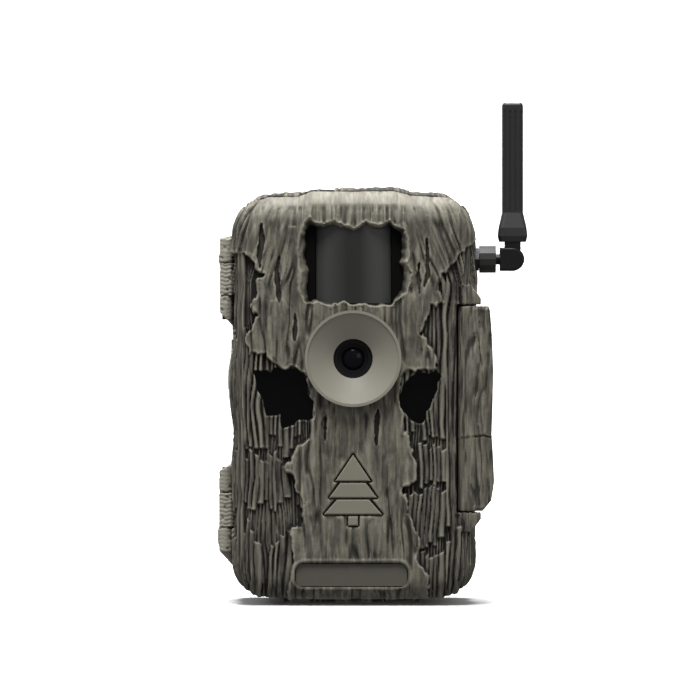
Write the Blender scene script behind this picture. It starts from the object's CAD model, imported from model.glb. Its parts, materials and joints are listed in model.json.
import functools
import json
import math

import bmesh
import bpy
import numpy as np
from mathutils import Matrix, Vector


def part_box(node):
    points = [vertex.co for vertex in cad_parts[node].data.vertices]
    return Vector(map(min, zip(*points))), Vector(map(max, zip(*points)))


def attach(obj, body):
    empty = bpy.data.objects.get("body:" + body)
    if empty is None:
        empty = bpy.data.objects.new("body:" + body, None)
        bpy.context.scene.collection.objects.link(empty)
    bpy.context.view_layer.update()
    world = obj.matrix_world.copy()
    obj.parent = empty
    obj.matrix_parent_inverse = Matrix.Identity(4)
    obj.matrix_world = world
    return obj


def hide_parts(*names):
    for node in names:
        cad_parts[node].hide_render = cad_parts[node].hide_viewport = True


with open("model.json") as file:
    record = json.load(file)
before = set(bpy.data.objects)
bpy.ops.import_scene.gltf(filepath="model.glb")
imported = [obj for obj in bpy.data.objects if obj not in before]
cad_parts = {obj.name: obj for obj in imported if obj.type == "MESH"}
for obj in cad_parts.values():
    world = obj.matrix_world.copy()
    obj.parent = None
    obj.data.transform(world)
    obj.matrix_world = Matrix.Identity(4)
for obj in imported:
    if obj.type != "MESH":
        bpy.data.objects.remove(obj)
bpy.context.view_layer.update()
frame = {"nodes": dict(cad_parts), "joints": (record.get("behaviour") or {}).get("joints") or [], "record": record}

import openvdb as vdb
from mathutils import Vector

# The looks of a bark-textured trail camera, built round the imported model.
# The shells are worked out in millimetres as signed distances on a grid, with the bark's
# relief taken from a height map, and then meshed. Everything in Blender is in metres.

MM = 0.001
RNG_SEED = 20240


def box_mm(node):
    """Lowest and highest corner of a CAD node, in millimetres."""
    low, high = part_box(node)
    return np.array(low) / MM, np.array(high) / MM


def joint_mm(name):
    """A hinge's point, in millimetres."""
    return next(np.array(j["pos_m"]) / MM for j in frame["joints"] if j["name"] == name)


def centre(node, *axes):
    """The middle of a CAD node along some axes, in millimetres."""
    low, high = box_mm(node)
    return tuple((low[a] + high[a]) / 2 for a in axes)


# ---- sizes taken from the frame ----

PANEL_INSET, SEAL_INSET = 3.2, 2.05
panel_low, panel_high = box_mm("inner_panel")
seal_low, seal_high = box_mm("housing_seal")
cover_low, cover_high = box_mm("front_cover")
housing_low, housing_high = box_mm("rear_housing")
lever_low, lever_high = box_mm("latch_lever")
plate_low, plate_high = box_mm("nameplate")
emblem_low, emblem_high = box_mm("emblem")
catch_low, catch_high = box_mm("latch_catch")
insert_low, insert_high = box_mm("tripod_insert")

HINGE = joint_mm("door_hinge")
LATCH = joint_mm("latch_pivot")
SEAM = HINGE[1]
DOOR_LOW = panel_low[[0, 2]] - PANEL_INSET
DOOR_HIGH = panel_high[[0, 2]] + PANEL_INSET
FRONT = emblem_high[1]
BODY_LOW = seal_low[[0, 2]] - SEAL_INSET
BODY_HIGH = seal_high[[0, 2]] + SEAL_INSET
BACK = housing_high[1]
LENS = centre("lens_hood", 0, 2)
ANTENNA = centre("antenna_connector", 1, 2)

# ---- outlines seen from the front, in millimetres ----

# Edge of the smooth bark plates. They run from the top down both sides and the middle.
PLATE_EDGE = [
    (-60, 127.5), (-45, 127), (-37.3, 126.5), (-35.3, 120.8), (-32.2, 119.3), (-34.6, 117.3),
    (-34.2, 112.9), (-36.7, 108.5), (-34.7, 104.5), (-36.3, 100.1), (-38.8, 96.3), (-37.5, 90.8),
    (-31.6, 91), (-28.6, 87.4), (-24.7, 85.3), (-21, 85.8), (-16.6, 82.3), (-14.6, 74.4),
    (-14.4, 66.5), (-15.8, 60.6), (-20.5, 56.1), (-24.5, 49.5), (-21, 46.3), (-20.5, 41.3),
    (-17.8, 36.9), (-18.8, 28.8), (-22, 28), (-22.3, 22.1), (-21.7, 15.2), (-23, 7.3),
    (-24, -30), (28.8, -30), (26.8, 5.3), (28.3, 11.2), (22.9, 16.7), (24.9, 24.1),
    (21.9, 29), (19.1, 33.4), (20.1, 37.4), (17.8, 41.8), (22.9, 45.3), (22.5, 52.7),
    (20.9, 56.1), (18.2, 64.5), (17.5, 70), (16.2, 74.4), (17, 82.3), (19.9, 85.3),
    (23.9, 84.3), (30.3, 85.3), (30.6, 90.2), (27.3, 94.1), (24.4, 98.1), (26.1, 102),
    (28.3, 108), (32.3, 109.4), (30.6, 113.9), (31.8, 119.3), (34.9, 121.8), (37.2, 123.8),
    (39.7, 127.5), (48, 131), (62, 132), (62, 200), (-60, 200),
]
# Tongues of lighter bark that stand a little higher
TONGUES = [
    [
        (-30.4, 109.9), (-25.5, 110.9), (-22, 107), (-21.5, 102), (-22.5, 98.1),
        (-21, 94.1), (-21.7, 89.2), (-24.5, 86), (-27.4, 87.8), (-29.9, 92.2), (-30.9, 102),
    ],
    [
        (25.1, 98.6), (27.3, 94.1), (30, 90.2), (29.8, 86), (24.4, 85), (23.4, 88.2),
        (24.9, 92.2), (23.9, 95.6),
    ],
]
# Narrow dark splits in the plates: (x, low z, high z, half width)
SPLITS = [
    (-33.2, 121.5, 138.1, 0.9), (-27, 109.2, 126.2, 0.9), (-21.1, 95.3, 105.6, 0.8),
    (26.3, 114.2, 132.6, 0.8), (23.5, 112.2, 123.6, 0.7), (8.9, 57.5, 71, 0.8),
    (-9.5, 59.5, 69, 0.6),
]
WINDOW_EDGE = [
    (-17.1, 135.1), (-15.6, 137.1), (-10.7, 135.6), (-6.7, 137.1), (-1.8, 135.1), (1.2, 134.6),
    (4.1, 136.6), (9.1, 135.4), (13, 137.1), (17.5, 134.6), (17.5, 130.7), (18, 125.7),
    (16.4, 123.8), (18.5, 119.8), (17, 113.9), (14, 109), (8.1, 109), (4.1, 109.8),
    (0.2, 109.2), (-3.8, 110.2), (-8.7, 109), (-12.6, 110.2), (-16.1, 110.2), (-17.1, 113.9),
    (-16.1, 120.8), (-17.6, 126.7),
]
LEFT_EYE = [
    (-35.6, 84.5), (-33, 84.7), (-31, 85), (-29.8, 83.5), (-28.7, 86.1), (-24.8, 85.2),
    (-20.3, 85.6), (-18.6, 83.8), (-16, 79.9), (-16.5, 76.1), (-14.4, 73.7), (-14.3, 67.5),
    (-15.8, 66.8), (-19.9, 66.8), (-21, 65.1), (-25.5, 63.9), (-26.3, 69), (-29.4, 68.5),
    (-31.3, 68.5), (-32.5, 74.7), (-34.4, 77.1),
]
RIGHT_EYE = [
    (22.7, 84), (27.3, 83.7), (30.2, 84.6), (31.7, 82.6), (30.2, 80.2), (30.4, 77.6),
    (28.4, 73.9), (28, 71.4), (26.5, 69.9), (26.4, 67.7), (25.1, 65.8), (23.3, 65.7),
    (21, 67), (17, 71.4), (16.3, 75.6), (17.7, 76.9), (18.3, 80.2),
]

# Outlines of the two hinges, with their tapered ends
UPPER_HINGE = [
    (-38, 134.4), (-43, 134.4), (-48.6, 133.3), (-48.6, 127.4), (-49.1, 126.8), (-49.1, 124),
    (-48.6, 123.4), (-48.6, 106), (-43.4, 100.3), (-38, 100.3),
]
LOWER_HINGE = [
    (-38, 50.4), (-45, 50.4), (-48.9, 48), (-48.9, 28), (-49.5, 26.6), (-49.5, 21.8),
    (-48.9, 20.6), (-48.9, 18.6), (-42.8, 12), (-38, 12),
]
# Outer edge of the latch lever: (z, step out from its plain side)
LEVER_WAVE = [
    (33, -5), (34.4, -3.6), (38, -0.6), (45, 0.5), (52, 0.2), (62, -0.5), (75, -0.1),
    (85, 0.1), (98, -0.4), (106.5, -1.1), (109, -1.9),
]

# Outer edge of both shells on the hinge side: (z, step out from the plain side)
LEFT_WAVE = [
    (12, 0), (50, 0.2), (58, -0.5), (63, -0.5), (69, 0.3), (76, 1.1), (81, 1.5),
    (86, 1.2), (91, 0.3), (95, -0.1), (101, 0.3), (135, 0),
]

# ---- noise and two-dimensional distances ----

# Sizes of the tables of random numbers, and a distance beyond everything
NOISE_TABLE = (97, 89)
ROD_TABLE = 128
FAR = 99.0


def smooth(low, high, value):
    """Smooth step from 0 at low to 1 at high."""
    t = np.clip((value - low) / (high - low), 0.0, 1.0)
    return t * t * (3.0 - 2.0 * t)


def four_corners(table, along, across, fu, fv):
    """Weighs the values at the four corners of a cell."""
    low, high = (table[along[0], b] * (1 - fu) + table[along[1], b] * fu for b in across)
    return low * (1 - fv) + high * fv


def overlap(*distances):
    """Distance to what several shapes have in common."""
    return functools.reduce(np.maximum, distances)


def beyond(value, low, high):
    """How far a value is outside a range, negative inside."""
    return np.maximum(low - value, value - high)


def bell(value, middle, width):
    """1 at the middle, falling off to 0 on both sides."""
    return np.exp(-((value - middle) / width) ** 2)


def blend(first, second, share):
    """First where share is 0, and second where it is 1."""
    return first + (second - first) * share


def lattice(u, v, size_u, size_v, seed):
    """Smooth random field between -1 and 1, with cells of size_u by size_v."""
    table = np.random.default_rng(RNG_SEED + seed).uniform(-1.0, 1.0, NOISE_TABLE)
    gu, gv = u / size_u, v / size_v
    iu, iv = np.floor(gu).astype(int), np.floor(gv).astype(int)
    fu, fv = gu - iu, gv - iv
    fu, fv = fu * fu * (3 - 2 * fu), fv * fv * (3 - 2 * fv)
    a, a1 = iu % NOISE_TABLE[0], (iu + 1) % NOISE_TABLE[0]
    b, b1 = iv % NOISE_TABLE[1], (iv + 1) % NOISE_TABLE[1]
    return four_corners(table, (a, a1), (b, b1), fu, fv)


def layered_noise(u, v, size_u, size_v, seed, octaves=3):
    """Sum of lattice noises, each half the size and strength of the one before."""
    total = 0.0
    for step in range(octaves):
        scale = 0.5 ** step
        total = total + scale * lattice(u, v, size_u * scale, size_v * scale, seed + 7 * step)
    return total


def polygon_distance(x, z, points):
    """Distance to a closed outline, negative inside."""
    pts = np.array(points, dtype=float)
    nearest = np.full(x.shape, 1e9)
    inside = np.zeros(x.shape, dtype=bool)
    for (ax, az), (bx, bz) in zip(pts, np.roll(pts, -1, axis=0)):
        ex, ez = bx - ax, bz - az
        t = np.clip(((x - ax) * ex + (z - az) * ez) / (ex * ex + ez * ez), 0.0, 1.0)
        nearest = np.minimum(nearest, (x - ax - t * ex) ** 2 + (z - az - t * ez) ** 2)
        if az != bz:
            crosses = (z >= min(az, bz)) & (z < max(az, bz))
            inside ^= crosses & (x < ax + (z - az) * ex / ez)
    distance = np.sqrt(nearest)
    return np.where(inside, -distance, distance)


def rounded_rect(x, z, low, high, radius):
    """Distance to a rounded rectangle, negative inside."""
    qx = np.abs(x - (low[0] + high[0]) / 2) - (high[0] - low[0]) / 2 + radius
    qz = np.abs(z - (low[1] + high[1]) / 2) - (high[1] - low[1]) / 2 + radius
    outside = np.hypot(np.maximum(qx, 0.0), np.maximum(qz, 0.0))
    return outside + np.minimum(np.maximum(qx, qz), 0.0) - radius


def blurred(field, radius):
    """Box blur of a map, three times over, which is close to a Gaussian."""
    for _ in range(3):
        for axis in (0, 1):
            pad = [(radius + 1, radius) if a == axis else (0, 0) for a in (0, 1)]
            total = np.cumsum(np.pad(field, pad, mode="edge"), axis=axis)
            length = field.shape[axis]
            high = np.take(total, np.arange(2 * radius + 1, 2 * radius + 1 + length), axis=axis)
            low = np.take(total, np.arange(0, length), axis=axis)
            field = (high - low) / (2 * radius + 1)
    return field


# ---- bark height map ----

MAP_STEP = 0.22
PLATE_RISE, ROD_RISE, FLOOR, SPLIT_FLOOR = 0.95, 0.15, -1.6, -0.9
EMBLEM_FLOOR = -1.0
ROD_PITCH, THIN_PITCH = 1.9, 1.15


def flow(u, v):
    """Bends the grain outwards towards the two top corners."""
    return u + 0.33 * smooth(4.0, 30.0, np.abs(u)) * np.clip(v - 116.0, 0.0, 34.0) * np.sign(u)


def rod_ends(k, side, v, bands, seed):
    """How far each point is from the nearer end of rod number k. Rods end in stepped groups,
    and each is broken off at a slant."""
    rng = np.random.default_rng(RNG_SEED + seed)
    inside = np.full(v.shape, -1.0)
    index = k % ROD_TABLE
    slant = rng.uniform(-0.9, 0.9, ROD_TABLE)[index] * side
    for place, (low, high, low_spread, high_spread) in enumerate(bands):
        steps = lattice(index * 1.0, index * 0.0, 2.3, 1.0, seed + 2 + place)
        starts = low + (0.45 * rng.uniform(-1, 1, ROD_TABLE)[index] + 1.4 * steps) * low_spread
        ends = high + (0.45 * rng.uniform(-1, 1, ROD_TABLE)[index] - 1.4 * steps) * high_spread
        missing = (rng.uniform(0, 1, ROD_TABLE) < 0.1)[index]
        inside = np.maximum(inside, np.minimum(v - starts, ends - v + slant) - FAR * missing)
    return inside


def rods(u, v, pitch, seed):
    """The number of the rod at each point, the place across it (-1 to 1), and its width."""
    wander = 1.2 * lattice(u, v, 9.0, 24.0, seed) + 0.45 * lattice(u, v, 3.0, 8.0, seed + 1)
    uneven = 0.6 * lattice(u + wander, 0 * v, 2.3 * pitch, 1.0, seed + 2)
    across = (u + wander) / pitch + uneven
    k = np.floor(across).astype(int)
    return k, 2.0 * (across - k) - 1.0, 0.8 + 0.17 * lattice(u, v, 2.5, 8.0, seed + 3)


def round_back(side, width):
    """Height of a round rod, 0 at its sides and 1 on its back."""
    return np.sqrt(np.clip(1.0 - (side / width) ** 2, 0.0, 1.0))


def fibre_layer(u, v, bands, seed):
    """Height of the deep bark: thin rods in the shade, and fluted, broken slabs over them."""
    k, side, width = rods(u, v, ROD_PITCH, seed)
    under_k, under_side, under_width = rods(u, v, THIN_PITCH, seed + 40)
    rng = np.random.default_rng(RNG_SEED + seed + 5)
    lift = rng.uniform(-0.6, 0.4, ROD_TABLE)[k % ROD_TABLE]
    under_lift = rng.uniform(-0.3, 0.4, ROD_TABLE)[under_k % ROD_TABLE]
    inside = rod_ends(k, side, v, bands, seed + 6)
    slab = smooth(0.0, 0.4, inside)
    furrow = 0.5 * (1 - smooth(0.0, 0.3, lattice(k * 1.0, v, 2.6, 22.0, seed + 8)))
    crown = blend(furrow, 1, round_back(side, width) ** 0.75)
    striae = 0.09 * lattice(u, v, 0.5, 11.0, seed + 4)
    under = FLOOR + (0.65 + under_lift) * round_back(under_side, under_width)
    over = FLOOR + (ROD_RISE - FLOOR + lift) * crown + 0.2 * bell(inside, 0.5, 0.35)
    return blend(under, over, slab) + striae


def creases(noise, width):
    """1 along the lines where a noise changes sign, falling off to 0."""
    return 1 - smooth(0.0, width, np.abs(noise))


def plate_layer(u, v, seed):
    """Height of the smooth plates: long creases and lobes that follow the grain."""
    w = u + 1.3 * lattice(u, v, 11.0, 28.0, seed) + 0.45 * lattice(u, v, 4.0, 10.0, seed + 1)
    lobes = lattice(w, v, 5.0, 36.0, seed + 2)
    calm = smooth(-0.6, 0.0, lattice(u, v, 8.0, 17.0, seed + 3))
    deep = creases(layered_noise(w, v, 3.2, 26.0, seed + 4, 2), 0.36)
    small = creases(lattice(w, v, 1.5, 12.0, seed + 6), 0.5)
    grain = lattice(w, v, 0.6, 9.0, seed + 7)
    pits = lattice(u, v, 1.3, 2.2, seed + 8)
    return PLATE_RISE + 0.3 * lobes - 0.95 * deep * calm - 0.42 * small + 0.1 * grain + 0.1 * pits


def jagged(u, v, seed):
    """Ragged shift of a plate's edge, in millimetres."""
    large, middle = lattice(u, v, 2.0, 3.0, seed), lattice(u, v, 0.9, 1.6, seed + 1)
    return 0.75 * large + 0.4 * middle + 0.15 * lattice(u, v, 0.5, 0.7, seed + 2)


class BarkMap:
    """Relief over an unrolled surface: u runs round the sides and v over the top and bottom."""

    def __init__(self, low, high, paint):
        self.low = low
        u = np.arange(low[0], high[0], MAP_STEP)
        v = np.arange(low[1], high[1], MAP_STEP)
        u, v = np.meshgrid(u, v, indexing="ij")
        self.height, self.plate = paint(u, v)
        near = blurred(self.height, 3)
        wide = blurred(self.height, 12)
        self.hollow = 0.6 * (self.height - near) + 0.4 * (self.height - wide)

    def sample(self, field, u, v):
        """A field of the map at any u and v, by bilinear interpolation."""
        gu = np.clip((u - self.low[0]) / MAP_STEP, 0, field.shape[0] - 1.001)
        gv = np.clip((v - self.low[1]) / MAP_STEP, 0, field.shape[1] - 1.001)
        iu, iv = gu.astype(int), gv.astype(int)
        return four_corners(field, (iu, iu + 1), (iv, iv + 1), gu - iu, gv - iv)

    def wrapped(self, field, ways):
        """A field of the map at an unrolled place."""
        side, end, ends = ways
        return blend(self.sample(field, *side), self.sample(field, *end), ends)


def raised_lip(distance, width, rise):
    """A rounded ridge just outside an outline."""
    return rise * np.clip(1.0 - ((distance - width / 2) / (width / 2)) ** 2, 0.0, 1.0) ** 0.5


def window_distance(u, v):
    """Distance to the sensor window's ragged outline."""
    ragged = 0.55 * lattice(u, v, 2.6, 2.6, 130) + 0.3 * lattice(u, v, 1.1, 1.1, 131)
    return polygon_distance(u, v, WINDOW_EDGE) + ragged


def eye_distance(u, v, outline):
    """Distance to a ragged eye hole's outline."""
    return polygon_distance(u, v, outline) + 0.35 * jagged(u, v, 120)


def paint_front(u, v):
    """Bark of the front door, after the outlines above."""
    left_bands = [(58.0, 96.0, 4.0, 3.0), (37.0, 53.0, 2.6, 2.6), (-30.0, 26.0, 1.0, 3.2)]
    right_bands = [(60.0, 135.0, 3.0, 4.0), (44.5, 57.5, 2.4, 2.4), (23.0, 42.0, 3.5, 1.8),
                   (-30.0, 20.0, 1.0, 3.5)]
    edge_bands = [(29.0, 135.0, 5.0, 4.0), (-30.0, 26.0, 1.0, 4.0)]
    grain_u = flow(u, v)
    layers = [fibre_layer(grain_u, v, bands, seed)
              for bands, seed in ((left_bands, 10), (right_bands, 30), (edge_bands, 34))]
    fibres = np.where(u < 0, layers[0], np.where(u < 33.5, layers[1], layers[2]))

    # Smooth rails along both long edges
    for edge, sign, seed in ((DOOR_LOW[0], -1, 47), (DOOR_HIGH[0], 1, 53)):
        inward = sign * (edge - u) + 0.7 * lattice(u, v, 30.0, 11.0, seed)
        rail = smooth(-1.5, -0.9, inward) * (1 - smooth(2.9, 3.3, inward))
        ridge = 0.35 - 0.8 * creases(lattice(u, v, 1.3, 26.0, seed + 1), 0.5)
        fibres = blend(fibres, ridge, rail)

    tongues = np.full(u.shape, 1e3)
    for tongue in TONGUES:
        tongues = np.minimum(tongues, polygon_distance(u, v, tongue) + 0.6 * jagged(u, v, 63))
    distance = np.minimum(polygon_distance(u, v, PLATE_EDGE) + jagged(u, v, 60), tongues)
    plate = 1 - smooth(-0.2, 0.2, distance)
    surface = plate_layer(grain_u, v, 70)
    surface += 0.3 * bell(distance, -0.6, 0.4) + 0.35 * (1 - smooth(-0.2, 0.2, tongues))

    # Short flutes over the window, hanging from a smooth rim
    hang = 137.5 + 1.6 * lattice(u, v, 1.4, 400.0, 93)
    flutes = smooth(hang - 0.4, hang + 0.4, v) * (1 - smooth(143.5, 145.5, v))
    middle = 1 - smooth(21.0, 25.0, np.abs(u))
    comb = creases(lattice(u, v, 0.95, 24.0, 92), 0.55)
    surface -= flutes * middle * (0.75 * comb - 0.1)
    brow = smooth(142.5, 145.5, v) * (1 - smooth(24.0, 38.0, np.abs(u)))
    surface += 0.75 * (PLATE_RISE + 0.15 - surface) * brow

    for x, low, high, half in SPLITS:
        along = np.clip((v - low) / (high - low), 0.0, 1.0)
        width = half * np.sqrt(np.clip(4 * along * (1 - along), 0.0, 1.0))
        width = width * (0.95 + 0.4 * lattice(u, v, 4.0, 2.2, 81))
        width = width + 0.2 * lattice(u, v, 1.1, 0.9, 79) - 0.12
        bend = 0.7 * lattice(u * 0, v, 5.0, 6.0, 82 + int(abs(x)))
        split = np.abs(u - x - bend) - width
        here = (along > 0) * (along < 1)
        surface += 0.2 * bell(split, 0.5, 0.35) * here
        surface = blend(surface, SPLIT_FLOOR, (1 - smooth(-0.1, 0.2, split)) * here)
    height = blend(fibres, surface, plate)

    # Bevelled walls and lips round the openings, the nameplate and the emblem
    window = window_distance(u, v)
    bevel = 0.9 + 1.6 * smooth(108.5, 113.0, v) - 0.8 * smooth(130.0, 134.0, v)
    rise = PLATE_RISE + 0.2
    wall = rise - (rise + 1.9) * np.clip((bevel - window) / bevel, 0.0, 1.0)
    wall += 0.25 * lattice(u, v, 1.6, 3.0, 94) * (window < bevel)
    lip = raised_lip(window - bevel + 0.35, 1.0, 0.3)
    height = np.where(window < bevel, wall, height + lip)
    for eye in (LEFT_EYE, RIGHT_EYE):
        height = height + raised_lip(eye_distance(u, v, eye), 1.0, 0.2)
    board = nameplate_distance(u, v)
    ground = 1 - smooth(0.6, 2.2, board)
    height = blend(height, 0.5, ground * 0.8) + raised_lip(board, 1.5, 0.6)
    tree = polygon_distance(u, v, tree_outline())
    height = blend(height, EMBLEM_FLOOR, 1 - smooth(0.15, 0.7, tree))
    return height, np.maximum(plate, 1 - smooth(0.3, 1.5, board))


def nameplate_distance(u, v):
    """Distance to the nameplate's recess."""
    return rounded_rect(u, v, plate_low[[0, 2]] - 0.4, plate_high[[0, 2]] + 0.4, 3.4)


# The tree's tiers: low and high edge over its foot, and width below and above as a share
TREE_TIERS = ((4.0, 10.0, 1.0, 0.55), (10.0, 16.0, 0.82, 0.44), (16.0, None, 0.61, 0.0))
TRUNK_HALF, TIER_GAP, TIER_BEVEL = 1.8, 0.65, 0.45
TREE_MIDDLE, TREE_HALF = centre("emblem", 0)[0], (emblem_high[0] - emblem_low[0]) / 2
TREE_FOOT, TREE_HEIGHT = emblem_low[2], emblem_high[2] - emblem_low[2]


def tree_outline():
    """Outline of the pine tree emblem, from the CAD emblem's box."""
    steps = [(TRUNK_HALF, 0.0), (TRUNK_HALF, TREE_TIERS[0][0])]
    for low, high, wide, narrow in TREE_TIERS:
        steps += [(TREE_HALF * wide, low), (TREE_HALF * narrow, high or TREE_HEIGHT)]
    right = [(TREE_MIDDLE + x, TREE_FOOT + z) for x, z in steps]
    return right + [(2 * TREE_MIDDLE - x, z) for x, z in reversed(right[:-1])]


def paint_wild(seed):
    """Bark with no fixed plan, for the surfaces that the front view doesn't show."""

    def paint(u, v):
        bands = [(-40.0, 12.0, 2.0, 3.0), (17.0, 46.0, 3.0, 3.0), (49.0, 88.0, 3.0, 4.0),
                 (93.0, 121.0, 3.0, 3.0), (126.0, 210.0, 3.0, 3.0)]
        fibres = fibre_layer(u, v, bands, seed)
        shape = layered_noise(u, v, 11.0, 34.0, seed + 11, 2)
        distance = -(shape + 0.05) * 9.0 + jagged(u, v, seed + 20)
        plate = 1 - smooth(-0.2, 0.2, distance)
        surface = plate_layer(u, v, seed + 30) + 0.25 * bell(distance, -0.6, 0.4)
        return blend(fibres, surface, plate), plate

    return paint


def paint_latch(u, v):
    """Bark of the latch lever: one long plate with wavy grooves and a break across it."""
    w = u + 0.9 * lattice(u, v, 8.0, 16.0, 261) + 0.3 * lattice(u, v, 3.0, 7.0, 262)
    height = plate_layer(u, v, 270) - 0.75 * creases(layered_noise(w, v, 2.7, 34.0, 263, 2), 0.3)
    seam = LATCH_SEAM + 0.8 * lattice(u, v, 3.0, 50.0, 264)
    height = height - 0.35 * (1 - smooth(seam - 0.2, seam + 0.2, v))
    return height - 0.9 * bell(v, seam, 0.3), np.ones(u.shape)


# ---- solid grids ----


def soft_shell(outline, depth, edge):
    """An outline run back from a face, with the edge rounded. depth is how deep inside."""
    a, b = outline + edge, depth + edge
    corner = np.sqrt(np.maximum(a, 0) ** 2 + np.maximum(b, 0) ** 2)
    return corner + np.minimum(np.maximum(a, b), 0) - edge


class Grid:
    """Signed distances on a regular grid, in millimetres. Negative is inside."""

    def __init__(self, low, high, step):
        self.low, self.step = np.array(low, dtype=float), step
        counts = [int(math.ceil((b - a) / step)) + 1 for a, b in zip(low, high)]
        axes = [np.float32(a) + np.arange(n, dtype=np.float32) * np.float32(step)
                for a, n in zip(low, counts)]
        self.x, self.y, self.z = np.meshgrid(*axes, indexing="ij", sparse=True)
        self.x2, self.z2 = np.meshgrid(axes[0], axes[2], indexing="ij")
        self.field = None

    def flat(self, distance):
        """Spreads a distance in x and z over all depths."""
        return distance.astype(np.float32)[:, None, :]

    def box(self, low, high):
        """Distance to a box."""
        return overlap(*map(beyond, (self.x, self.y, self.z), low, high))

    def add(self, *distances):
        """Adds what several shapes have in common."""
        self.field = np.minimum(self.field, overlap(*distances))

    def cut(self, *distances):
        """Cuts away what several shapes have in common."""
        self.field = np.maximum(self.field, -overlap(*distances))

    def cylinder(self, axis, centre, radius, low, high):
        """Distance to a round bar along an axis, from low to high."""
        across = [self.x, self.y, self.z]
        ends = beyond(across.pop(axis), low, high)
        radial = np.sqrt((across[0] - centre[0]) ** 2 + (across[1] - centre[1]) ** 2) - radius
        return overlap(radial, ends)

    def mesh(self, name):
        """Meshes the zero surface."""
        reach = 3 * self.step
        volume = vdb.FloatGrid(reach)
        volume.copyFromArray(np.clip(self.field, -reach, reach).astype(np.float32))
        points, triangles, quads = volume.convertToPolygons(0.0, ADAPTIVITY)
        points = (points * self.step + self.low) * MM
        faces = triangles.tolist() + quads.tolist()
        return smooth_object(name, points.tolist(), faces)


def add_object(name, data):
    """An object in the scene."""
    thing = bpy.data.objects.new(name, data)
    bpy.context.scene.collection.objects.link(thing)
    return thing


def smooth_object(name, points, faces):
    """A smooth-shaded mesh object."""
    mesh = bpy.data.meshes.new(name)
    mesh.from_pydata(points, [], faces)
    mesh.validate()
    mesh.polygons.foreach_set("use_smooth", [True] * len(mesh.polygons))
    return add_object(name, mesh)


def store(piece, name, values):
    """Keeps one number per vertex, which the material reads."""
    layer = piece.data.attributes.new(name, "FLOAT", "POINT")
    layer.data.foreach_set("value", np.asarray(values, dtype=np.float32))


def vertices_mm(piece):
    """The x, y and z of all vertices of a piece, in millimetres."""
    flat = np.empty(len(piece.data.vertices) * 3, dtype=np.float32)
    piece.data.vertices.foreach_get("co", flat)
    return (flat.reshape(-1, 3) / MM).astype(float).T


# ---- unrolled coordinates ----

WRAP, FOLD, MITRE = 9.0, 3.0, 1.5


def shell_outline(x, z, low, high, corner):
    """A body's outline: a rounded rectangle with a raised brow and gently wavy sides."""
    brow = 1.7 * smooth(-21.0, -13.5, x) * (1 - smooth(13.5, 23.0, x)) - 0.6
    waves = 0.8 * lattice(x * 0 + np.sign(x) * 9.0, z, 20.0, 13.0, 140) * (x > 0)
    waves = waves + np.interp(z, *zip(*LEFT_WAVE)) * (x < 0)
    lumps = 0.35 * lattice(x, z, 7.0, 6.0, 141)
    above = smooth(high[1] - 30.0, high[1] - 8.0, z)
    beside = 1 - smooth(0.0, 9.0, np.minimum(x - low[0], high[0] - x))
    room = 1 - smooth(high[1] - 16.0, high[1] - 6.0, z) - (1 - smooth(low[1], low[1] + 12.0, z))
    plain = rounded_rect(x, z, low, high, corner)
    return plain - brow * above - waves * beside * np.clip(room, 0.0, 1.0) - lumps * above


def unroll(x, depth, z, low, high):
    """The bark's u and v, carried round the edges by the depth: over the long sides, over the
    top and bottom, and how much the second way counts. The two meet in the corners."""
    left = smooth(low[0] + WRAP, low[0] + FOLD, x)
    right = smooth(high[0] - WRAP, high[0] - FOLD, x)
    bottom = smooth(low[1] + WRAP, low[1] + FOLD, z)
    top = smooth(high[1] - WRAP, high[1] - FOLD, z)
    to_side = np.minimum(x - low[0], high[0] - x)
    to_end = np.minimum(z - low[1], high[1] - z)
    ends = smooth(-MITRE, MITRE, to_side - to_end)
    return (x + depth * (right - left), z), (x, z + depth * (top - bottom)), ends


def front_relief(bark, x, y, z):
    """Relief of the door at any point, quiet at the seam, the hinges and the latch."""
    height = bark.wrapped(bark.height, unroll(x, y - FRONT, z, DOOR_LOW, DOOR_HIGH))
    calm = 1 - 0.75 * smooth(SEAM - 2.2, SEAM - 0.6, y)
    calm = calm * (0.4 + 0.6 * smooth(DOOR_LOW[1] - 0.5, DOOR_LOW[1] + 3.5, z))
    latch_gap = np.maximum(np.maximum(lever_low[0] - x, 0), beyond(z, lever_low[2], lever_high[2]))
    calm = calm * (0.15 + 0.85 * smooth(0.5, 2.2, latch_gap))
    side = smooth(DOOR_HIGH[0] - 1.5, DOOR_HIGH[0] - 0.2, x)
    antenna_gap = np.hypot(y - ANTENNA[0], z - ANTENNA[1])
    return height * calm * (1 - side * (1 - smooth(5.2, 6.6, antenna_gap)))


def rear_relief(bark, x, y, z):
    """Relief of the rear housing, quiet at the seam, the bracket, the feet and the catch."""
    height = bark.wrapped(bark.height, unroll(x, BACK - y, z, BODY_LOW, BODY_HIGH))
    calm = smooth(SEAM + 0.6, SEAM + 2.2, y)
    bracket_low, bracket_high = box_mm("tree_bracket")
    gap = np.maximum(np.abs(x) - bracket_high[0], beyond(z, bracket_low[2], bracket_high[2]))
    on_back = smooth(BACK - 4.0, BACK - 1.0, y)
    calm = calm * (1 - on_back * (1 - smooth(0.5, 3.0, gap)))
    calm = calm * smooth(BODY_LOW[1] + 0.5, BODY_LOW[1] + 3.0, z)
    catch_gap = np.maximum(beyond(y, catch_low[1], catch_high[1]), beyond(z, catch_low[2], catch_high[2]))
    side = smooth(BODY_HIGH[0] - 1.5, BODY_HIGH[0] - 0.2, x)
    return height * calm * (1 - side * (1 - smooth(1.0, 2.5, catch_gap)))


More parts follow.
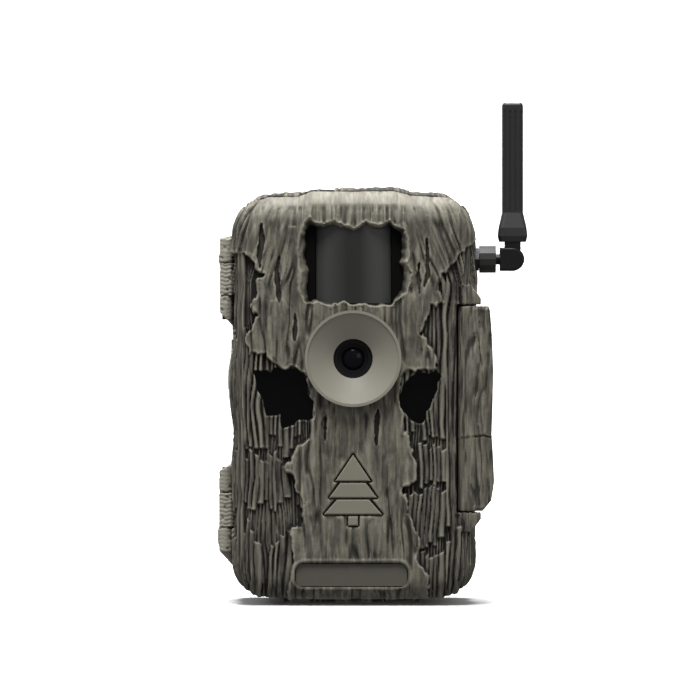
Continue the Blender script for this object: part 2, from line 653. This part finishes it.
def latch_relief(bark, x, y, z):
    """Relief of the latch lever's cover, quiet where it faces or turns past the door."""
    height = 0.62 * (bark.sample(bark.height, x - y, z) - 0.1)
    outward = np.maximum(smooth(44.0, 48.0, x), smooth(-34.5, -36.0, y) * smooth(42.3, 44.0, x))
    from_end = np.minimum(z - lever_low[2], lever_high[2] - z)
    rim = 0.25 * bell(from_end, 1.3, 0.5)
    height = np.minimum(height, 0.5) * (0.35 + 0.65 * smooth(0.5, 2.0, from_end)) + rim
    return (height + LEVER_SINK + LEVER_GROWTH * smooth(45.5, 47.5, x)) * outward


def relief_near(grid, base, relief, bark, reach=3.0):
    """Takes the relief off a base distance, worked out only near the surface."""
    where = np.nonzero(np.abs(base) < reach)
    x, y, z = (axis.ravel()[place].astype(float)
               for axis, place in zip((grid.x, grid.y, grid.z), where))
    result = base.copy()
    result[where] -= relief(bark, x, y, z).astype(np.float32)
    return result


def hinge_outline(grid):
    """Distance to the two hinges' outlines, seen from the front."""
    both = [polygon_distance(grid.x2, grid.z2, edge) for edge in (UPPER_HINGE, LOWER_HINGE)]
    return grid.flat(np.minimum(both[0], both[1]))


def inset(grid, body, corner, amount):
    """Distance to a body's plain outline, drawn in by an amount."""
    return grid.flat(rounded_rect(grid.x2, grid.z2, body[0] + amount, body[1] - amount, corner - amount))


def knuckles(grid, spans, side):
    """Ribbed hinge knuckles with their webs. side is -1 for the door and 1 for the housing."""
    waves = grid.z + 0.25 * np.sin(grid.x * 2.0)
    ribs = -0.16 + 0.16 * np.sin(waves * (2 * math.pi / RIB_PITCH))
    notch = smooth(0.82, 0.95, np.sin(grid.z * 0.83 + 1.0) * np.sin(grid.x * 1.35 + grid.z * 0.5))
    ends = hinge_outline(grid)
    for low, high in spans:
        bar = grid.cylinder(2, HINGE, KNUCKLE, low, high)
        near, far = sorted((HINGE[1] + side * 0.3, HINGE[1] + side * KNUCKLE))
        web = grid.box((HINGE[0], near, low), (DOOR_LOW[0] + 1.5, far, high))
        block = np.minimum(bar, web) - ribs.astype(np.float32) + 0.8 * notch.astype(np.float32)
        grid.add(block, ends, beyond(grid.z, low, high))


def sweep_clear(grid, spans):
    """Cuts away what the other half's knuckles would rub against."""
    for low, high in spans:
        grid.cut(grid.cylinder(2, HINGE, SWEEP, low - 0.1, high + 0.1))


def knuckle_spans(side):
    """The lengths of the hinge that belong to the door (-1) or to the housing (1)."""
    spans = []
    for bottom, mid_low, mid_high, top in (UPPER_KNUCKLES, LOWER_KNUCKLES):
        if side < 0:
            spans.append((mid_low + KNUCKLE_GAP, mid_high - KNUCKLE_GAP))
        else:
            spans += [(bottom, mid_low - KNUCKLE_GAP), (mid_high + KNUCKLE_GAP, top)]
    return spans


UPPER_KNUCKLES = (102.8, 112.1, 123.9, 133.4)
LOWER_KNUCKLES = (18.2, 27.7, 40.3, 50.0)
WALL, THINNEST, DOOR_CORNER, HOUSING_CORNER = 3.0, 1.0, 13.0, 15.0
FRONT_EDGE, BACK_EDGE, LATCH_SEAM = 8.0, 6.0, 60.7
LUG_SIDE, LUG_HEIGHT, RIB_PITCH = 46.0, 7.0, 1.45
KNUCKLE, SWEEP, KNUCKLE_GAP = 2.9, 3.05, 0.08
DOOR, BODY = (DOOR_LOW, DOOR_HIGH), (BODY_LOW, BODY_HIGH)
HOOD_HOLE, LEVER_SINK, LEVER_GROWTH = 13.0, -0.2, 0.65
DOOR_STEP, HOUSING_STEP, LEVER_STEP, ADAPTIVITY = 0.38, 0.5, 0.34, 0.02
ANTENNA_BORE, PIN_BORE, LEVER_GAP = 3.3, 1.1, 0.6
# The door's hollow is narrower in front, and wide from here back
DEEP_RIGHT, WIDE_FROM = 34.5, -21.5
# The housing's inner rim and its seal groove, measured in from the outline, and the feet
RIM_WIDTH, RIM_DEPTH, GROOVE, GROOVE_DEPTH = 5.6, 3.6, (2.0, 3.8), 1.6
FOOT_HEIGHT, FOOT_SIDE, FOOT_HALF, PORT_BORE = 2.6, 24.0, 1.5, 3.2


def build_front_shell(bark):
    """The door: bark outside, hollow inside, with the openings, lugs and hinge knuckles."""
    low = (cover_low[0] - 1.5, FRONT - 3.0, DOOR_LOW[1] - 3.0)
    high = (cover_high[0] + 2.0, SEAM + 4.0, DOOR_HIGH[1] + 3.0)
    grid = Grid(low, high, DOOR_STEP)
    x2, z2 = grid.x2, grid.z2
    outline = grid.flat(shell_outline(x2, z2, *DOOR, DOOR_CORNER))
    base = soft_shell(outline, FRONT - grid.y, FRONT_EDGE)
    grid.field = relief_near(grid, base, front_relief, bark)
    skin = WALL - THINNEST
    core = inset(grid, DOOR, DOOR_CORNER, skin)
    grid.add(soft_shell(core, FRONT + skin - grid.y, FRONT_EDGE - skin))
    grid.cut(SEAM - 0.1 - grid.y)

    deep_high = (DEEP_RIGHT, DOOR_HIGH[1] - WALL)
    deep = grid.flat(rounded_rect(x2, z2, DOOR_LOW + WALL, deep_high, DOOR_CORNER - WALL))
    grid.cut(soft_shell(deep, FRONT + WALL - grid.y, FRONT_EDGE - 1.0))
    grid.cut(inset(grid, DOOR, DOOR_CORNER, WALL), WIDE_FROM - grid.y)
    grid.cut(grid.box((30.0, -31.0, 118.0), (DOOR_HIGH[0] - WALL, -20.5, 133.0)))

    notch_low = (lever_low[0] - LEVER_GAP, FRONT - 9.0, lever_low[2] - LEVER_GAP)
    grid.cut(grid.box(notch_low, (FAR, -24.4, lever_high[2] + LEVER_GAP)))
    grain = (0.12 * np.sin(grid.x * 3.1 + 0.6 * np.sin(grid.z * 0.5))).astype(np.float32)
    for foot, away in ((lever_low[2] - LEVER_GAP - LUG_HEIGHT, -1), (lever_high[2] + LEVER_GAP, 1)):
        lug = grid.box((38.5, FRONT + 0.4, foot), (LUG_SIDE, -27.0, foot + LUG_HEIGHT))
        past_end = away * (grid.z - foot - LUG_HEIGHT / 2) - LUG_HEIGHT / 2
        slope = 0.79 * (grid.x - LUG_SIDE) + 0.61 * (past_end + LUG_HEIGHT - 2.4)
        grid.add(lug + grain, slope)

    holes = [eye_distance(x2, z2, eye) for eye in (LEFT_EYE, RIGHT_EYE)]
    holes += [window_distance(x2, z2), np.hypot(x2 - LENS[0], z2 - LENS[1]) - HOOD_HOLE]
    for hole in holes:
        grid.cut(grid.flat(hole), grid.y - FRONT - WALL - 1.0)
    grid.cut(grid.flat(nameplate_distance(x2, z2)), grid.y - plate_high[1] - 0.05)

    sweep_clear(grid, knuckle_spans(1))
    knuckles(grid, knuckle_spans(-1), -1)
    grid.cut(grid.cylinder(0, ANTENNA, ANTENNA_BORE, 38.0, 48.0))
    grid.cut(grid.cylinder(2, LATCH, PIN_BORE, lever_low[2] - 6.0, lever_high[2] + 6.0))

    piece = grid.mesh("door_shell")
    x, y, z = vertices_mm(piece)
    depth = soft_shell(shell_outline(x, z, *DOOR, DOOR_CORNER), FRONT - y, FRONT_EDGE)
    paint_attributes(piece, bark, unroll(x, y - FRONT, z, *DOOR), depth)
    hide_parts("front_cover")
    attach(piece, "door")
    return piece


def paint_attributes(piece, bark, ways, depth):
    """Stores the bark's hollows and plates, and where the surface is bark at all. The rim of
    the rear half is sooty next to the seam. depth is how far outside the plain body a point is."""
    x, y, z = vertices_mm(piece)
    side, end, ends = ways
    u, v = np.where(ends > 0.5, end[0], side[0]), np.where(ends > 0.5, end[1], side[1])
    outside = smooth(-2.5, -2.1, depth)
    added = smooth(1.4, 1.9, depth)
    rim = smooth(SEAM - 0.3, SEAM, y) * (1 - smooth(SEAM + 1.0, SEAM + 5.0, y))
    store(piece, "bark", outside)
    hinge = smooth(0.6, 1.4, DOOR_LOW[0] - x)
    brow = smooth(137.5, 141.0, z) * (1 - smooth(30.0, 40.0, np.abs(x)))
    brow = brow * (1 - smooth(FRONT + 4.0, FRONT + 11.0, y))
    store(piece, "pale", np.maximum(hinge, 0.28 * brow))
    hollow = bark.wrapped(bark.hollow, ways)
    store(piece, "hollow", (hollow - 0.4 * rim) * (1 - added))
    store(piece, "plate", np.maximum(bark.wrapped(bark.plate, ways), added))
    store(piece, "grain_u", u * MM)
    store(piece, "grain_v", v * MM)


def build_rear_shell(bark):
    """The rear housing: bark outside, a hollow for the batteries, feet and hinge knuckles."""
    low = (housing_low[0] - 1.5, SEAM - 4.0, -1.0)
    high = (housing_high[0] + 2.5, BACK + 2.5, BODY_HIGH[1] + 2.5)
    grid = Grid(low, high, HOUSING_STEP)
    outline = grid.flat(shell_outline(grid.x2, grid.z2, *BODY, HOUSING_CORNER))
    base = soft_shell(outline, grid.y - BACK, BACK_EDGE)
    grid.field = relief_near(grid, base, rear_relief, bark)

    skin = WALL - THINNEST
    core, walls, rim, groove_out, groove_in = (
        inset(grid, BODY, HOUSING_CORNER, amount) for amount in (skin, WALL, RIM_WIDTH, *GROOVE)
    )
    grid.add(soft_shell(core, grid.y - BACK + skin, BACK_EDGE - skin))
    grid.cut(grid.y - SEAM - 0.1)
    cavity = soft_shell(walls, grid.y - BACK + WALL, BACK_EDGE - 1.0)
    grid.cut(cavity, SEAM + RIM_DEPTH - grid.y)
    grid.cut(rim, grid.y - BACK + WALL + 2.0)
    grid.cut(groove_out, -groove_in, grid.y - SEAM - GROOVE_DEPTH)

    foot_low, foot_high = SEAM + 0.7, BACK - 2.5
    bulge = grid.box((-17.0, foot_low, 0.0), (13.0, foot_high, FOOT_HEIGHT))
    grid.add(bulge, (np.abs(grid.x + 2.0) - 15.0) * 0.7 + (1.2 - grid.z) * 0.7)
    for foot in (-FOOT_SIDE, FOOT_SIDE):
        grid.add(grid.box((foot - FOOT_HALF, foot_low, 0.0), (foot + FOOT_HALF, foot_high, FOOT_HEIGHT)))
    socket = centre("tripod_insert", 0, 1)
    radius = (insert_high[0] - insert_low[0]) / 2
    grid.add(grid.cylinder(2, socket, radius + 2.2, BODY_LOW[1], insert_high[2] + 2.5))
    grid.cut(grid.cylinder(2, socket, radius + 0.05, -2.0, insert_high[2] + 0.2))
    grid.cut(grid.cylinder(2, centre("port_plug", 0, 1), PORT_BORE, -2.0, 4.7))
    grid.cut(grid.box((catch_low[0], catch_low[1] - 0.4, catch_low[2] - 0.3),
                      (FAR, catch_high[1] + 0.3, catch_high[2] + 0.3)))

    sweep_clear(grid, knuckle_spans(-1))
    knuckles(grid, knuckle_spans(1), 1)
    shield = beyond(grid.y, HINGE[1] + SWEEP + 0.1, HINGE[1] + SWEEP + 2.4)
    grid.add(shield, hinge_outline(grid), grid.x - BODY_LOW[0] - 2.0)

    piece = grid.mesh("housing_shell")
    x, y, z = vertices_mm(piece)
    depth = np.maximum(shell_outline(x, z, *BODY, HOUSING_CORNER), y - BACK)
    paint_attributes(piece, bark, unroll(x, BACK - y, z, *BODY), depth)
    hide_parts("rear_housing")
    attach(piece, "housing")
    return piece


def build_latch_cover(bark):
    """The latch lever: a barrel, a front block, a side plate and the hook."""
    low = (lever_low[0] - 1.0, lever_low[1] - 1.5, lever_low[2] - 1.0)
    high = (lever_high[0] + 1.5, lever_high[1] + 1.0, lever_high[2] + 1.0)
    grid = Grid(low, high, LEVER_STEP)
    x2, y2 = grid.x[:, :, 0], grid.y[0, :, :].T
    block = rounded_rect(x2, y2, (39.0, lever_low[1]), (lever_high[0], -25.3), 2.6)
    side = rounded_rect(x2, y2, (47.4, lever_low[1]), (lever_high[0], lever_high[1]), 1.4)
    step = rounded_rect(x2, y2, (44.6, -28.0), (lever_high[0], -21.9), 0.6)
    barrel = np.hypot(x2 - LATCH[0], y2 - LATCH[1]) - 3.6
    block = overlap(block, LATCH[0] - x2)
    profile = np.minimum(np.minimum(block, side), np.minimum(step, barrel))
    base = profile.astype(np.float32)[:, :, None] + 0 * grid.z
    ends = beyond(grid.z, lever_low[2], lever_high[2])
    outer = grid.x - lever_high[0] - np.interp(grid.z, *zip(*LEVER_WAVE)).astype(np.float32)
    grid.field = relief_near(grid, base, latch_relief, bark, 2.5)
    grid.field = overlap(grid.field, ends, outer)
    hook_low = (44.9, lever_high[1] - 2.7, catch_low[2] + 1.0)
    grid.add(grid.box(hook_low, (48.4, lever_high[1], catch_high[2] - 1.0)))
    grid.cut(grid.cylinder(2, LATCH, PIN_BORE - 0.05, lever_low[2] - 2, lever_high[2] + 2))
    piece = grid.mesh("latch_cover")
    x, y, z = vertices_mm(piece)
    paint_attributes(piece, bark, ((x - y, z), (x - y, z), 0 * x), 0 * x)
    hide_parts("latch_lever")
    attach(piece, "latch")
    return piece


def build_emblem():
    """The pine tree emblem: a trunk and three bevelled tiers with narrow gaps between them."""
    plates = [((0.0, TREE_TIERS[0][0] - TIER_GAP), (TRUNK_HALF, TRUNK_HALF))]
    for low, high, wide, narrow in TREE_TIERS:
        top = high - TIER_GAP if high else TREE_HEIGHT
        plates.append(((low, top), (TREE_HALF * wide, TREE_HALF * narrow)))
    tree = bmesh.new()
    for (low, high), (wide, narrow) in plates:
        outline = [(-wide, low), (wide, low), (narrow, high), (-narrow, high)]
        if narrow == 0.0:
            outline.pop()
        front = [tree.verts.new(((TREE_MIDDLE + x) * MM, emblem_low[1] * MM, (TREE_FOOT + z) * MM))
                 for x, z in outline]
        back = [tree.verts.new((v.co.x, emblem_high[1] * MM, v.co.z)) for v in front]
        tree.faces.new(front)
        tree.faces.new(back[::-1])
        for i in range(len(front)):
            tree.faces.new((front[i], front[i - 1], back[i - 1], back[i]))
    bmesh.ops.recalc_face_normals(tree, faces=tree.faces)
    rims = [e for e in tree.edges if all(abs(v.co.y - emblem_low[1] * MM) < 1e-7 for v in e.verts)]
    bmesh.ops.bevel(tree, geom=rims, offset=TIER_BEVEL * MM, segments=2, affect="EDGES", profile=0.6)
    piece = add_object("emblem_tree", bpy.data.meshes.new("emblem_tree"))
    tree.to_mesh(piece.data)
    tree.free()
    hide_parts("emblem")
    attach(piece, "door")
    return piece


# ---- materials ----


class Nodes:
    """Short helper round the node tree of a material or a world."""

    def __init__(self, name, kind="materials"):
        self.owner = getattr(bpy.data, kind).new(name)
        self.owner.use_nodes = True
        self.tree = self.owner.node_tree
        self.shader = self.tree.nodes.get("Principled BSDF")

    def feed(self, socket, value):
        """Links a socket to another, or sets it to a number or a colour."""
        if isinstance(value, bpy.types.NodeSocket):
            self.tree.links.new(value, socket)
        elif socket.type == "RGBA":
            socket.default_value = (*value, 1)
        else:
            socket.default_value = value

    def new(self, kind, **inputs):
        """A node with some of its inputs fed."""
        node = self.tree.nodes.new("ShaderNode" + kind)
        for name, value in inputs.items():
            self.feed(node.inputs[name.replace("_", " ")], value)
        return node

    def set(self, **inputs):
        """Feeds inputs of the shader."""
        for name, value in inputs.items():
            self.feed(self.shader.inputs[name.replace("_", " ")], value)

    def math(self, operation, *values):
        """A math node over sockets or numbers. Returns its output."""
        node = self.new("Math")
        node.operation = operation
        for socket, value in zip(node.inputs, values):
            self.feed(socket, value)
        return node.outputs[0]

    def times(self, first, second):
        """Their product."""
        return self.math("MULTIPLY", first, second)

    def ramp(self, source, *stops):
        """A colour ramp. stops are (place, colour or grey)."""
        node = self.new("ValToRGB", Fac=source)
        ramp = node.color_ramp
        while len(ramp.elements) < len(stops):
            ramp.elements.new(0.5)
        for element, (place, value) in zip(ramp.elements, stops):
            element.position = place
            element.color = (*value, 1) if isinstance(value, tuple) else (value, value, value, 1)
        return node.outputs[0]

    def mix(self, factor, first, second):
        """A colour mix of sockets or colours."""
        node = self.new("Mix")
        node.data_type = "RGBA"
        for place, value in ((0, factor), (6, first), (7, second)):
            self.feed(node.inputs[place], value)
        return node.outputs[2]

    def attribute(self, name):
        node = self.new("Attribute")
        node.attribute_name = name
        return node.outputs["Fac"]

    def coordinates(self, scale=(1, 1, 1)):
        """Object coordinates in metres, scaled."""
        place = self.new("TexCoord").outputs["Object"]
        return self.new("Mapping", Vector=place, Scale=scale).outputs[0]

    def along(self, kind, axis):
        """One axis of a kind of texture coordinate."""
        return self.new("SeparateXYZ", Vector=self.new("TexCoord").outputs[kind]).outputs[axis]

    def noise(self, scale, detail=3.0, vector=None):
        vector = vector or self.coordinates()
        node = self.new("TexNoise", Vector=vector, Scale=scale, Detail=detail, Roughness=0.55)
        return node.outputs["Fac"]

    def bump(self, height, strength, distance):
        node = self.new("Bump", Strength=strength, Distance=distance, Height=height)
        self.set(Normal=node.outputs[0])


TAUPE = (0.142, 0.131, 0.102)
TAUPE_LIGHT = (0.262, 0.246, 0.198)
TAUPE_PALE = (0.318, 0.303, 0.252)
UMBER = (0.026, 0.025, 0.023)
SOOT = (0.007, 0.0065, 0.0055)
CELL_PITCH = 0.0562


def tint(colour, factor):
    """A darker or lighter colour."""
    return tuple(c * factor for c in colour)


def bark_material():
    """Moulded plastic bark: taupe plates with dark smudges along the grain, sooty grooves and
    rubbed, paler edges."""
    n = Nodes("bark")
    place = n.new("CombineXYZ", X=n.attribute("grain_u"), Y=n.attribute("grain_v")).outputs[0]

    def grain(across, along, detail=3.0):
        """Noise stretched along the grain, with its sizes in millimetres."""
        scale = (1 / MM / across, 1 / MM / along, 1)
        return n.noise(1.0, detail, n.new("Mapping", Vector=place, Scale=scale).outputs[0])

    plate, hollow = n.attribute("plate"), n.attribute("hollow")
    smudge = n.ramp(grain(2.4, 17.0, 5.0), (0.40, 0.0), (0.52, 1.0))
    patches = n.ramp(grain(8.0, 22.0, 2.0), (0.35, 0.12), (0.53, 1.0))
    speckle = n.ramp(n.noise(1500.0, 4.0), (0.36, 0.0), (0.64, 1.0))
    ground = n.mix(speckle, tint(TAUPE, 0.8), TAUPE)
    plates = n.mix(n.times(n.times(smudge, patches), 0.66), ground, UMBER)
    light = n.ramp(grain(1.7, 12.0), (0.5, 0.0), (0.72, 1.0))
    plates = n.mix(n.times(light, 0.55), plates, TAUPE_LIGHT)
    streaks = n.ramp(grain(1.1, 10.0), (0.36, 0.0), (0.68, 1.0))
    fibres = n.mix(streaks, UMBER, TAUPE)
    colour = n.mix(plate, fibres, plates)
    groove = n.ramp(n.times(hollow, -1.5), (0.06, 0.0), (0.55, 1.0))
    shaded = n.times(groove, n.math("SUBTRACT", 1.0, n.times(plate, 0.25)))
    colour = n.mix(shaded, colour, SOOT)
    edge = n.ramp(n.times(hollow, 1.5), (0.3, 0.0), (0.95, 1.0))
    colour = n.mix(n.times(edge, 0.6), colour, TAUPE_LIGHT)
    colour = n.mix(n.times(n.attribute("pale"), 0.85), colour, TAUPE_PALE)
    inside = n.mix(n.noise(900.0), (0.030, 0.029, 0.026), (0.040, 0.039, 0.035))
    colour = n.mix(n.attribute("bark"), inside, colour)
    rough = n.ramp(grain(1.2, 5.0), (0.2, 0.6), (0.8, 0.8))
    n.set(Base_Color=colour, Roughness=rough, Specular_IOR_Level=0.22)
    n.bump(n.math("ADD", grain(0.45, 3.5), n.times(n.noise(2600.0), 0.35)), 0.5, 0.00018)
    return n.owner


def plastic(name, colour, rough, shine=0.3, grain=1800.0, vary=0.12, depth=0.00006):
    """Moulded plastic with a fine spark-eroded grain and a slight change of tone."""
    n = Nodes(name)
    tone = n.mix(n.noise(55.0, 4.0), tint(colour, 1 - vary), tint(colour, 1 + vary))
    fine = n.noise(grain, 2.0)
    rough = n.ramp(fine, (0.25, rough - 0.08), (0.75, rough + 0.08))
    n.set(Base_Color=tone, Roughness=rough, Specular_IOR_Level=shine)
    n.bump(fine, 0.35, depth)
    return n.owner


def hood_material():
    """Beige moulded hood with a fine grain."""
    n = Nodes("hood_beige")
    tone = n.mix(n.noise(70.0, 4.0), (0.172, 0.161, 0.128), (0.205, 0.194, 0.158))
    fine = n.noise(2200.0, 2.0)
    n.set(Base_Color=tone, Roughness=n.ramp(fine, (0.3, 0.5), (0.7, 0.62)))
    n.bump(fine, 0.3, 0.00005)
    return n.owner


def metal(name, colour, rough, brushed=(1, 1, 1)):
    """Metal with fine brushing."""
    n = Nodes(name)
    fine = n.noise(900.0, 3.0, n.coordinates(brushed))
    rough = n.ramp(fine, (0.25, rough - 0.1), (0.75, rough + 0.12))
    n.set(Metallic=1.0, Base_Color=n.mix(fine, tint(colour, 0.82), colour), Roughness=rough)
    n.bump(fine, 0.2, 0.00003)
    return n.owner


def rubber(name, colour):
    """Matt rubber with a soft grain."""
    return plastic(name, colour, 0.78, 0.3, 1200.0, 0.2, 0.00008)


def gloss(name, colour, rough, coat, shine=0.3):
    """Glossy tinted sheet, with a faint orange peel."""
    n = Nodes(name)
    tone = n.noise(90.0, 3.0)
    rough = n.ramp(tone, (0.3, rough), (0.7, rough + 0.06))
    n.set(Base_Color=n.mix(tone, tint(colour, 0.8), colour), Roughness=rough)
    n.set(Coat_Weight=coat, Coat_Roughness=0.05, Specular_IOR_Level=shine)
    n.bump(n.noise(160.0, 2.0), 0.05, 0.0001)
    return n.owner


def lens_material():
    """Coated front glass: nearly black, with a faint green and violet bloom."""
    n = Nodes("coated_glass")
    tilt = n.math("ABSOLUTE", n.along("Normal", "Y"))
    bloom = n.ramp(tilt, (0.55, (0.003, 0.008, 0.008)), (0.8, (0.005, 0.004, 0.007)),
                   (1.0, (0.003, 0.003, 0.004)))
    rough = n.ramp(n.noise(300.0), (0.3, 0.05), (0.7, 0.09))
    n.set(Base_Color=bloom, Roughness=rough, Specular_IOR_Level=0.09)
    return n.owner


def film_material():
    """Dark sensor film with faint moulded lens ribs, hazier where it curves away."""
    n = Nodes("sensor_film")
    curve = n.ramp(n.math("ABSOLUTE", n.along("Normal", "X")), (0.1, 0.0), (0.42, 1.0))
    middle = n.mix(n.noise(60.0), (0.0105, 0.0105, 0.010), (0.0135, 0.0135, 0.013))
    tone = n.mix(curve, middle, (0.038, 0.038, 0.037))
    rough = n.ramp(n.noise(1500.0), (0.3, 0.36), (0.7, 0.46))
    n.set(Base_Color=tone, Roughness=rough, Specular_IOR_Level=0.35)
    wave = n.new("TexWave", Scale=160.0, Distortion=0.0, Vector=n.coordinates())
    wave.wave_type, wave.bands_direction = "BANDS", "X"
    n.bump(wave.outputs["Fac"], 0.12, 0.00005)
    return n.owner


def board_material():
    """Green solder mask over faint copper tracks."""
    n = Nodes("circuit_board")
    upright = n.new("Mapping", Rotation=(math.pi / 2, 0, 0), Vector=n.coordinates()).outputs[0]
    brick = n.new("TexBrick", Scale=420.0, Mortar_Size=0.05, Color1=(0.010, 0.075, 0.028),
                  Color2=(0.013, 0.095, 0.036), Mortar=(0.03, 0.16, 0.06), Vector=upright)
    tone = n.mix(n.noise(300.0), brick.outputs["Color"], (0.012, 0.085, 0.03))
    n.set(Base_Color=tone, Roughness=0.35)
    n.bump(brick.outputs["Fac"], 0.2, 0.00004)
    return n.owner


def cell_material():
    """Plain wrapped battery cell: a dark wrap with a copper-coloured end."""
    n = Nodes("cell_wrap")
    height = n.math("MODULO", n.math("ADD", n.along("Object", "Z"), 0.0355), CELL_PITCH)
    band = n.ramp(n.times(height, 18.0), (0.70, 0.0), (0.705, 1.0))
    tone = n.mix(band, (0.012, 0.014, 0.013), (0.42, 0.22, 0.10))
    n.set(Base_Color=tone, Roughness=n.ramp(n.noise(400.0), (0.3, 0.22), (0.7, 0.32)))
    n.bump(n.noise(700.0), 0.1, 0.00003)
    return n.owner


# Name: colour, roughness, and specular level where it isn't 0.3
PLASTICS = {
    "bark_light": ((0.178, 0.166, 0.130), 0.6),
    "black_plastic": ((0.006, 0.006, 0.006), 0.55, 0.12),
    "dark_metal": ((0.024, 0.025, 0.024), 0.42, 0.2),
    "chip_black": ((0.018, 0.018, 0.019), 0.6),
    "panel_grey": ((0.045, 0.046, 0.048), 0.58),
    "card_blue": ((0.012, 0.028, 0.09), 0.42),
    "card_white": ((0.52, 0.52, 0.5), 0.4),
    "switch_red": ((0.32, 0.018, 0.012), 0.45),
    "antenna_black": ((0.016, 0.016, 0.0165), 0.42),
    "plate_floor": ((0.072, 0.068, 0.055), 0.7),
    "elbow_black": ((0.006, 0.006, 0.006), 0.4, 0.2),
    "soot_black": ((0.0025, 0.0025, 0.002), 0.8, 0.05),
    "tray_black": ((0.02, 0.02, 0.021), 0.55),
}
# Name: colour, roughness, and the brushing's scale along each axis
METALS = {
    "steel": ((0.52, 0.51, 0.5), 0.32),
    "dark_steel": ((0.06, 0.058, 0.055), 0.42),
    "spring_steel": ((0.45, 0.45, 0.46), 0.28, (0.05, 1, 1)),
    "brass": ((0.62, 0.44, 0.18), 0.3),
    "gold_plate": ((0.75, 0.55, 0.24), 0.22),
    "shield_can": ((0.62, 0.62, 0.6), 0.3, (1, 1, 0.05)),
}
RUBBERS = {
    "key_grey": ((0.13, 0.13, 0.13),),
    "seal_rubber": ((0.016, 0.016, 0.016),),
    "cable_black": ((0.014, 0.014, 0.014),),
}
# Name: colour, roughness, coat, and specular level
GLOSSES = {
    "dark_window": ((0.0015, 0.0015, 0.0018), 0.05, 0.0, 0.1),
    "screen": ((0.008, 0.010, 0.013), 0.08, 1.0),
    "led_clear": ((0.09, 0.08, 0.10), 0.1, 0.8),
}


def make_materials():
    """One material for each slot of the record, and a few for single nodes."""
    made = {
        "bark_shell": bark_material(), "hood_beige": hood_material(),
        "sensor_window": film_material(), "lens_glass": lens_material(),
        "board_green": board_material(), "cell_wrap": cell_material(),
    }
    kinds = ((plastic, PLASTICS), (metal, METALS), (rubber, RUBBERS), (gloss, GLOSSES))
    for maker, table in kinds:
        made.update({name: maker(name, *values) for name, values in table.items()})
    return made


# CAD nodes that look different from the rest of their slot
OWN_MATERIAL = {
    "nameplate": "plate_floor", "antenna_elbow": "elbow_black", "elbow_pin": "elbow_black",
    "tree_bracket": "tray_black", "antenna_connector": "dark_metal", "pir_bezel": "soot_black",
    "latch_catch": "dark_steel", "latch_pin": "dark_steel",
    "hinge_pin_upper": "dark_steel", "hinge_pin_lower": "dark_steel",
}


def dress(piece, material):
    """Gives a piece one material."""
    piece.data.materials.clear()
    piece.data.materials.append(material)


def dress_nodes(materials):
    """Gives every CAD node the material of its slot, through its object's own slot."""
    for entry in frame["record"]["subparts"]:
        node = frame["nodes"][entry["node"]]
        if not node.material_slots:
            node.data.materials.append(None)
        chosen = OWN_MATERIAL.get(entry["node"], entry["material_slot"])
        for place in node.material_slots:
            place.link = "OBJECT"
            place.material = materials[chosen]


# ---- stage ----


def area_light(name, place, target, size, power):
    """A soft square light, aimed at a point."""
    light = bpy.data.lights.new(name, "AREA")
    light.size = size
    light.energy = power
    lamp = add_object(name, light)
    lamp.location = place
    direction = Vector([there - here for here, there in zip(place, target)])
    lamp.rotation_euler = direction.to_track_quat("-Z", "Y").to_euler()


def build_stage():
    """A pale sweep of paper under and behind the object, soft lights and the camera."""
    profile = [(-6.0, 0.0), (1.6, 0.0)]
    profile += [(1.6 + math.sin(a), 1.0 - math.cos(a)) for a in np.linspace(0.1, math.pi / 2, 15)]
    profile += [(2.6, 7.0)]
    points = [(x, y, z) for y, z in profile for x in (-6.0, 6.0)]
    faces = [(2 * i, 2 * i + 1, 2 * i + 3, 2 * i + 2) for i in range(len(profile) - 1)]
    sweep = smooth_object("sweep", points, faces)
    n = Nodes("paper")
    tone = n.mix(n.noise(2.0), (0.70, 0.70, 0.70), (0.72, 0.72, 0.72))
    n.set(Base_Color=tone, Roughness=0.95, Specular_IOR_Level=0.0)
    dress(sweep, n.owner)
    sweep.visible_diffuse = sweep.visible_glossy = False

    n = Nodes("studio", "worlds")
    sky = n.ramp(n.along("Generated", "Z"), (0.0, 0.34), (0.9, 0.52))
    n.feed(n.tree.nodes["Background"].inputs["Color"], sky)
    bpy.context.scene.world = n.owner

    middle = (0.0, 0.0, 0.08)
    area_light("key", (-0.12, -0.75, 1.6), middle, 0.6, 36.0)
    area_light("fill", (0.9, -1.2, 0.55), middle, 0.7, 2.5)
    area_light("rim", (-1.2, -0.3, 0.7), middle, 0.6, 3.0)
    area_light("crown", (0.0, 0.2, 1.4), middle, 0.5, 36.0)
    area_light("wall", (0.0, 1.1, 1.4), (0.0, 2.5, 0.3), 1.6, 60.0)

    distance = 1.8
    camera_data = bpy.data.cameras.new("camera")
    camera = add_object("camera", camera_data)
    view_width = 0.252
    camera_data.sensor_width = 36.0
    camera_data.lens = 36.0 * (distance + FRONT * MM) / view_width
    camera.location = (-0.0011, -distance, 0.0922)
    camera.rotation_euler = (math.pi / 2, 0, 0)
    camera_data.clip_end = 50.0
    bpy.context.scene.camera = camera
    bpy.context.scene.view_settings.view_transform = "Standard"


# ---- making ----

MATERIALS = make_materials()
dress_nodes(MATERIALS)

front_bark = BarkMap((-74.0, -28.0), (74.0, 178.0), paint_front)
rear_bark = BarkMap((-84.0, -38.0), (84.0, 188.0), paint_wild(200))
latch_bark = BarkMap((35.0, 30.0), (95.0, 112.0), paint_latch)

for shell in (
    build_front_shell(front_bark), build_rear_shell(rear_bark), build_latch_cover(latch_bark)
):
    dress(shell, MATERIALS["bark_shell"])
dress(build_emblem(), MATERIALS["bark_light"])

build_stage()
